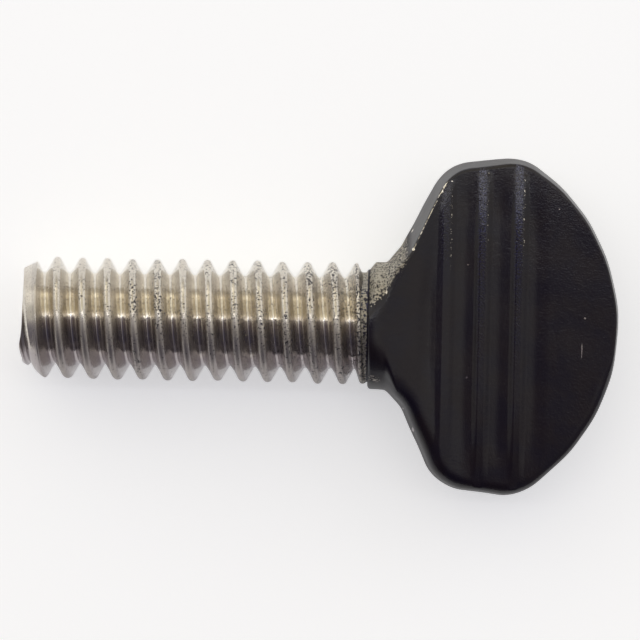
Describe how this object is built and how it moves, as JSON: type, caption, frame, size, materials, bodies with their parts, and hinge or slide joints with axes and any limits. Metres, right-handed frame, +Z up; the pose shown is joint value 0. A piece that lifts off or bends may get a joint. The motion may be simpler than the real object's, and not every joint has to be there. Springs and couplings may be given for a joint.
{
  "type": "thumb screw",
  "caption": "Spade-head thumb screw: coarse threaded shank in bare metal and a flat, ridged, black-painted head, lying on its side.",
  "frame": {"origin": "on the surface that the screw lies on, below the middle of its length and below the thread's axis", "axes": "+X along the thread's axis from the tip to the head, +Z up and square to the face of the head"},
  "size_m": [0.0304, 0.0171, 0.0063],
  "materials": {
    "screw_metal": "bare rolled thread, head sprayed gloss black with overspray specks on the thread"
  },
  "bodies": {
    "root": {"thumb_screw": "screw_metal"}
  },
  "joints": []
}
